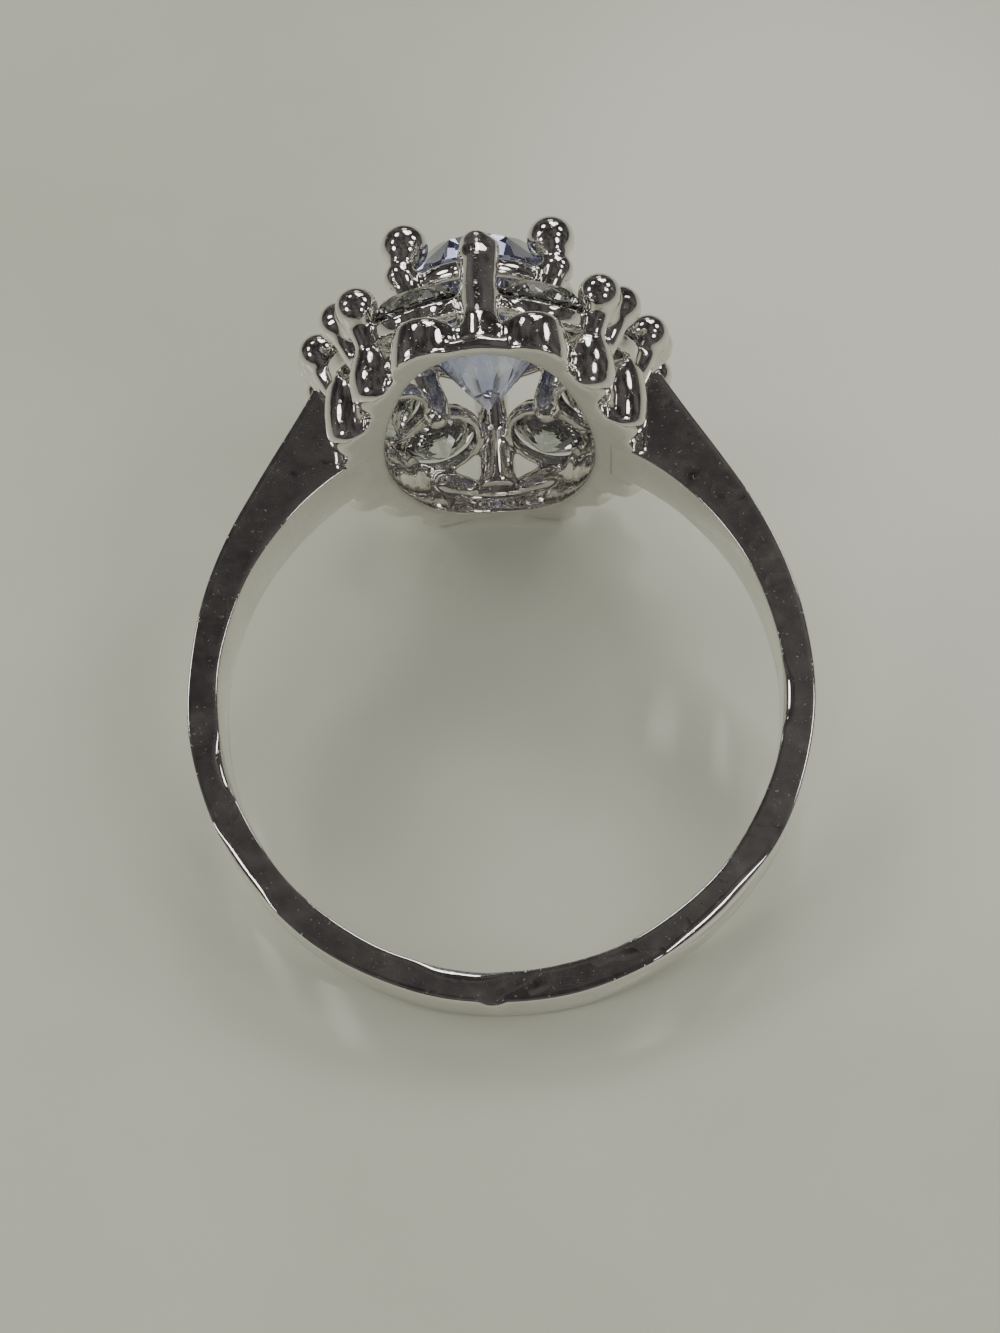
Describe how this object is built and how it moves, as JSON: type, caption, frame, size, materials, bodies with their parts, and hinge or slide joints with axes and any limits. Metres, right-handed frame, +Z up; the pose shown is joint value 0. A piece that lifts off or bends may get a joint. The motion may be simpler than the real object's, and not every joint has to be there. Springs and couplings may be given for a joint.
{
  "type": "oval cluster ring",
  "caption": "Finger ring with a large oval stone in claws over an oval halo of small round stones tilted outward, on a scalloped open gallery and a plain shank that widens to the head.",
  "frame": {"origin": "on the ground, below the middle of the lying ring's bounding box", "axes": "+X to the right across the finger hole, +Y from the back of the band to the head, +Z up from the ground the ring lies on"},
  "size_m": [0.0192, 0.0244, 0.0146],
  "materials": {
    "polished_metal": "mirror polished silver alloy with fine wear scratches",
    "centre_stone": "clear faceted stone with a pale violet-blue tone",
    "small_stones": "clear colourless faceted stone"
  },
  "bodies": {
    "root": {"metal_ring": "polished_metal", "centre_stone": "centre_stone", "halo_stone_01": "small_stones", "halo_stone_02": "small_stones", "halo_stone_03": "small_stones", "halo_stone_04": "small_stones", "halo_stone_05": "small_stones", "halo_stone_06": "small_stones", "halo_stone_07": "small_stones", "halo_stone_08": "small_stones", "halo_stone_09": "small_stones", "halo_stone_10": "small_stones"}
  },
  "joints": []
}
